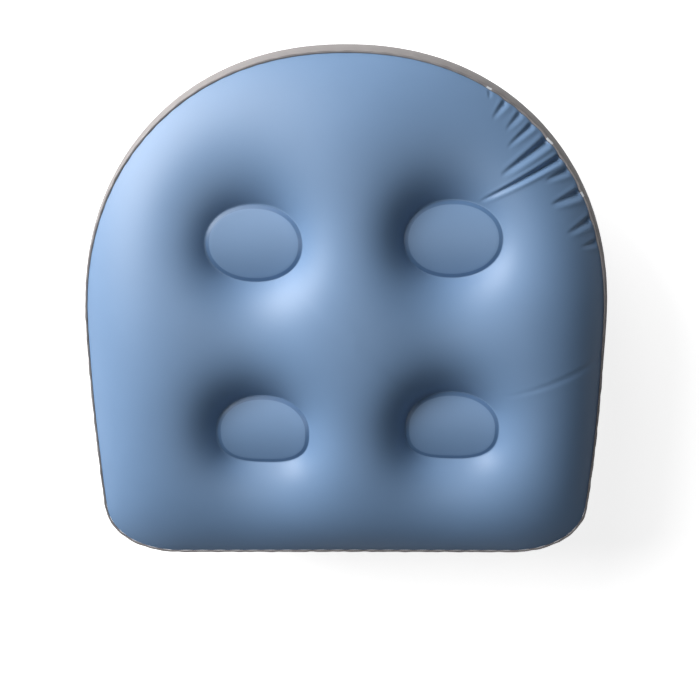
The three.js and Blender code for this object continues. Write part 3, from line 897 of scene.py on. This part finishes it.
def from_valve(point):
    """Place of a point on the wall across and above the valve's axis."""
    return Vector((point.x - valve_x, point.z - mid_z))


def in_hole(face):
    middle = face.calc_center_median()
    return middle.y < 0 and from_valve(middle).length < hole_radius


bm = laid_grid(wall_columns, wall_rows, wall_place)
covered = [face for face in bm.faces if in_hole(face)]
round_hole = {vertex for face in covered for vertex in face.verts}
bmesh.ops.delete(bm, geom=covered, context="FACES")
for vertex in (vertex for vertex in round_hole if vertex.is_valid):
    away = from_valve(vertex.co).normalized() * hole_radius
    vertex.co.x, vertex.co.z = valve_x + away.x, mid_z + away.y
side_wall = finish_piece(
    "side_wall_film",
    bm,
    grey_film,
    "cushion",
    "grey_film",
    "side_wall",
    merge=plan_merge,
    outward=away_from_middle,
)


# %% [markdown]
# # The seam lips
#
# Where two films are welded, their edges stand out from the seam as a thin flat lip, a
# little uneven where it was trimmed. Beside the deepest creases the weld is strained,
# and the vinyl has turned white there.

# %% The seam lips
lip_inner = 0.0002
lip_width = 0.0016
strained_at = (0.108, 0.167, 0.214)  # metres along the seam
strained_reach = 0.0024
lip_thickness = 0.0009
lip_section = 12
lip_squareness = 0.5  # of the section's corners: 1 would make it round
lip_unevenness = 0.09
lip_ripple = 0.00018


def lip_bm(height, pull):
    corner = np.linspace(0, 2 * math.pi, lip_section, endpoint=False) + math.pi / lip_section
    across = np.sign(np.cos(corner)) * np.abs(np.cos(corner)) ** lip_squareness
    upright = np.sign(np.sin(corner)) * np.abs(np.sin(corner)) ** lip_squareness

    def place(i, j):
        share = np.mod(i / wall_columns, 1)
        wave = np.sin(share * 2 * math.pi * 61) + 0.6 * np.sin(share * 2 * math.pi * 149 + 1)
        width = lip_width * (1 + lip_unevenness * wave)
        ring = j % lip_section
        out = lip_inner + width * (1 + across[ring]) / 2 + pull(share)
        plan = on_seam(share, out)
        ripple = lip_ripple * np.sin(share * 2 * math.pi * 97 + 2)
        z = height + lip_thickness / 2 * upright[ring] + ripple
        return np.column_stack([plan, z])

    return laid_grid(wall_columns, lip_section, place)


def lip_piece(name, bm):
    return finish_piece(
        name + "_film", bm, welded_film, "cushion", "welded_film", name, merge=1e-5
    )


lip_piece("bottom_seam_lip", lip_bm(2 * mid_z - seam_z, no_pull))
bm = lip_bm(seam_z, top_pull)
places = on_seam(np.array(strained_at) / seam_length)
for face in bm.faces:
    middle = np.array(face.calc_center_median()[:2])
    near = np.linalg.norm(places - middle, axis=1).min() < strained_reach
    face.material_index = int(near)
top_lip = lip_piece("top_seam_lip", bm)
top_lip.data.materials.append(strained_film)


# %% [markdown]
# # Turned fittings
#
# The fittings are moulded in round tools. So each starts as a few vertices that give its
# profile, which are spun once round an axis, and its hard edges are then bevelled the
# way a mould leaves them. Here the profiles are written in millimetres.


# %% Spinning a profile
hard_angle = math.radians(38)


def soften(bm, offset):
    """Rounds the hard edges of a bmesh."""
    hard = [edge for edge in bm.edges if edge.calc_face_angle(0) > hard_angle]
    bmesh.ops.bevel(
        bm,
        geom=hard,
        offset=offset,
        segments=2,
        profile=0.5,
        affect="EDGES",
        material=-1,
        clamp_overlap=True,
    )


def turned(profile, steps, softness=0.25):
    """Spins (radius, height) points round the Z axis and rounds the hard edges."""
    bm = bmesh.new()
    points = [bm.verts.new((radius / 1000, 0, height / 1000)) for radius, height in profile]
    edges = [bm.edges.new(pair) for pair in zip(points, points[1:])]
    bmesh.ops.spin(
        bm,
        geom=points + edges,
        cent=(0, 0, 0),
        axis=(0, 0, 1),
        angle=2 * math.pi,
        steps=steps,
        use_merge=True,
    )
    bmesh.ops.remove_doubles(bm, verts=bm.verts, dist=1e-6)
    bmesh.ops.recalc_face_normals(bm, faces=bm.faces)
    soften(bm, softness / 1000)
    return bm


# %% [markdown]
# # The suction cups
#
# Under the seat sit four clear suction cups, two under the arch and two under the front
# corners, so that the seat doesn't float up or slide. Each is a soft bell with a
# mushroom head that turns in its socket, and a tab at the rim to peel it off with. The
# tab grows out of the rim by extruding a few faces of its edge.

# %% The cups
cup_centres = {
    "back_left": (-0.062, 0.134),
    "back_right": (0.062, 0.134),
    "front_left": (-0.142, -0.1393),
    "front_right": (0.142, -0.1393),
}
cup_steps = 96
cup_radius = 20
cup_tab_reach = 6
cup_tab_half_angle = math.radians(11.5)
cup_profile = [
    (17.6 * math.sin(a), 5.7 * math.cos(a)) for a in np.linspace(0, math.pi / 2, 12)
]
cup_profile += [(cup_radius, 0), (cup_radius, 0.35), (cup_radius, 1.0)]
cup_profile += [
    (8.2 + 11.8 * math.cos(a), 1.0 + 5.9 * math.sin(a)) for a in np.linspace(0.1, 1.45, 10)
]
cup_profile += [(8.6, 7.3), (7.4, 7.6), (3.8, 7.6), (3.8, 9.9), (6.0, 9.9), (5.7, 11.5)]
cup_profile += [(3.8, 13.1), (0, 13.1)]


cup_tab_half_width = 0.004
cup_tab_lift = 0.0005


def grow_tab(bm, radius, heights, half_angle, side):
    """Extrudes the faces beyond a radius, between two heights, towards +X or -X."""
    rim = []
    for face in bm.faces:
        middle = face.calc_center_median()
        at_rim = middle.xy.length > radius and heights[0] < middle.z < heights[1]
        if at_rim and abs(math.atan2(middle.y, side * middle.x)) < half_angle:
            rim.append(face)
    grown = bmesh.ops.extrude_face_region(bm, geom=rim)["geom"]
    return [item for item in grown if isinstance(item, bmesh.types.BMVert)]


def suction_cup():
    bm = turned(cup_profile, cup_steps)
    for vertex in grow_tab(bm, 0.0197, (0.00035, 0.0008), cup_tab_half_angle, 1):
        across = abs(vertex.co.y) / cup_tab_half_width
        vertex.co.x = (cup_radius + cup_tab_reach - 2.2 * across**3) / 1000
        vertex.co.z += cup_tab_lift
    return bm


for corner, (x, y) in cup_centres.items():
    bm = suction_cup()
    outward = Matrix.Translation((x, y, 0)) @ Matrix.Rotation(math.atan2(y, x), 4, "Z")
    bmesh.ops.transform(bm, matrix=outward, verts=bm.verts)
    finish_piece(
        "suction_cup_" + corner + "_moulded",
        bm,
        cup_vinyl,
        "cup_" + corner,
        "clear_vinyl",
        "suction_cup_" + corner,
    )

# %% [markdown]
# # The sockets of the cups
#
# Each head turns in a hub whose flange is welded to the bottom sheet. The flange takes
# the curve of the sheet: after the spin, every point whose height in the profile is
# below zero is set that far under the sheet.

# %% The sockets
socket_steps = 72
socket_profile = [
    (4.2, 8.3),
    (9.7, 8.3),
    (10.5, 9.0),
    (10.5, -2.8),
    (10.8, -2.0),
    (11.6, -1.7),
    (13.4, -1.6),
    (15.3, -1.4),
    (16.0, -0.8),
    (16.0, -0.1),
    (6.7, -0.1),
    (6.7, 9.6),
    (4.2, 9.6),
    (4.2, 8.3),
]


def under_sheet(bm, centre):
    """Sets the points with a height below zero under the bottom sheet."""
    below = [vertex for vertex in bm.verts if vertex.co.z < 0]
    plan = np.array([vertex.co[:2] for vertex in below]) + centre
    for vertex, height in zip(below, bottom_height(plan)):
        vertex.co.z += height


for corner, centre in cup_centres.items():
    bm = turned(socket_profile, socket_steps, softness=0)
    under_sheet(bm, centre)
    bmesh.ops.translate(bm, vec=(*centre, 0), verts=bm.verts)
    finish_piece(
        "cup_socket_" + corner + "_moulded",
        bm,
        welded_film,
        "cushion",
        "welded_film",
        "cup_socket_" + corner,
    )

# %% [markdown]
# # The valve
#
# The valve is in the front wall. A flange welded over the wall's hole carries a thin
# bellows, in which the stem sits pushed in, so that it doesn't stick out. The stem is
# pulled out, the plug is opened and air is blown in past a check flap. All of it is
# turned about an axis that points straight out of the wall.

# %% Where the valve sits
valve_place = Vector((valve_x, front_y, mid_z))
valve_turn = Matrix.Translation(valve_place) @ Matrix.Rotation(math.pi / 2, 4, "X")
valve_steps = 64
front_bulge = 0.007


def wall_drawn_in(height):
    """How far the front wall is drawn in at a height above the middle."""
    angle = np.arcsin(height / wall_half_height * math.sin(wall_half_angle))
    bow = (np.cos(angle) - math.cos(wall_half_angle)) / (1 - math.cos(wall_half_angle))
    return front_bulge * (1 - bow)


def place_on_valve(name, bm, material, body, slot, *nodes):
    bmesh.ops.transform(bm, matrix=valve_turn, verts=bm.verts)
    return finish_piece(name, bm, material, body, slot, *nodes)


# %% The flange
collar_radius = 0.0114
skirt_start = 0.0126
flange_profile = [
    (9.6, -1.7),
    (9.6, 1.1),
    (11.0, 1.1),
    (11.4, 0.95),
    (12.0, 0.75),
    (13.4, 0.7),
    (14.9, 0.6),
    (15.5, 0.3),
    (15.5, 0.05),
    (10.3, 0.05),
    (10.3, -1.7),
    (9.6, -1.7),
]
bm = turned(flange_profile, valve_steps, softness=0.15)
for vertex in bm.verts:
    radius = math.hypot(vertex.co.x, vertex.co.y)
    follow = np.clip((radius - collar_radius) / (skirt_start - collar_radius), 0, 1)
    if vertex.co.z < 0.0003:
        follow = 1
    vertex.co.z -= follow * wall_drawn_in(vertex.co.y)
place_on_valve("valve_flange_moulded", bm, valve_vinyl, "cushion", "valve_vinyl", "valve_flange")

# %% The bellows
bellows_outer = [(9.3, 1.1), (9.1, 0.2), (8.7, -2.5), (8.6, -5), (8.1, -7.5)]
bellows_outer += [(7.7, -10), (7.1, -14)]
bellows_film = 0.7
bellows_inner = [(radius - bellows_film, height) for radius, height in reversed(bellows_outer)]
bm = turned([*bellows_outer, *bellows_inner, bellows_outer[0]], valve_steps, softness=0.1)
bellows = place_on_valve(
    "valve_bellows_moulded", bm, valve_vinyl, None, "valve_vinyl", "valve_bellows"
)
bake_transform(bellows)

# %% The stem and its flap
stem_profile = [
    (4.1, -16),
    (6.0, -16),
    (6.0, -0.9),
    (5.8, -0.4),
    (6.0, 0.0),
    (6.0, 0.6),
    (4.1, 0.6),
    (4.1, -16),
]
place_on_valve(
    "valve_stem_moulded",
    turned(stem_profile, valve_steps),
    valve_vinyl,
    "stem",
    "valve_vinyl",
    "valve_stem",
)
flap_profile = [(0, -17.1), (4.4, -17.1), (5.2, -16.9), (5.2, -16.3), (0, -16.3)]
place_on_valve(
    "valve_flap_moulded",
    turned(flap_profile, valve_steps, softness=0.1),
    cup_vinyl,
    "flap",
    "clear_vinyl",
    "valve_flap",
)

# %% The plug
plug_profile = [
    (0, -5.4),
    (3.0, -5.4),
    (3.6, -4.9),
    (3.6, -3.4),
    (3.8, -2.9),
    (3.8, -2.2),
    (3.6, -1.7),
    (3.6, 0.9),
    (6.0, 0.9),
    (6.0, 1.5),
    (6.0, 2.7),
    (3.4, 2.7),
    (3.1, 2.45),
    (0, 2.45),
]
plug_tab_end = -0.0105
plug_tab_half_width = 0.0026
plug_tab_half_angle = math.radians(25)
plug_softness = 0.0002
bm = turned(plug_profile, valve_steps, softness=0)
for vertex in grow_tab(bm, 0.0058, (0.0015, 0.003), plug_tab_half_angle, -1):
    vertex.co.x = plug_tab_end + 0.0012 * (abs(vertex.co.y) / plug_tab_half_width) ** 3
soften(bm, plug_softness)
place_on_valve("valve_plug_moulded", bm, valve_vinyl, "plug", "valve_vinyl", "valve_plug")

# %% The strap of the plug
strap_line = [(6.7, -5.5), (6.7, -3), (6.7, -0.6), (6.75, 0.9), (6.9, 1.8), (6.6, 2.35)]
strap_half_width = 0.0016
strap_film = 0.0007
strap_columns = 4
bm = bmesh.new()
points = [
    bm.verts.new((radius / 1000, -strap_half_width, height / 1000)) for radius, height in strap_line
]
edges = [bm.edges.new(pair) for pair in zip(points, points[1:])]
for _ in range(strap_columns):
    grown = bmesh.ops.extrude_edge_only(bm, edges=edges)["geom"]
    edges = [item for item in grown if isinstance(item, bmesh.types.BMEdge)]
    points = [item for item in grown if isinstance(item, bmesh.types.BMVert)]
    edges = [edge for edge in edges if all(vertex in points for vertex in edge.verts)]
    bmesh.ops.translate(bm, vec=(0, 2 * strap_half_width / strap_columns, 0), verts=points)
bmesh.ops.recalc_face_normals(bm, faces=bm.faces)
bmesh.ops.solidify(bm, geom=bm.faces, thickness=strap_film)
strap = place_on_valve("valve_strap_moulded", bm, valve_vinyl, None, "valve_vinyl", "valve_strap")
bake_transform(strap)

# %% [markdown]
# # What is inside
#
# The tie columns and their weld rings stay out of sight in the air chamber. Their CAD
# solids already have the right form, so they only get the finish of pale inner film.

# %% The pieces inside
for name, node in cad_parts.items():
    if "weld_ring" in name or "tie_column" in name:
        node.data.materials.clear()
        node.data.materials.append(inner_film)
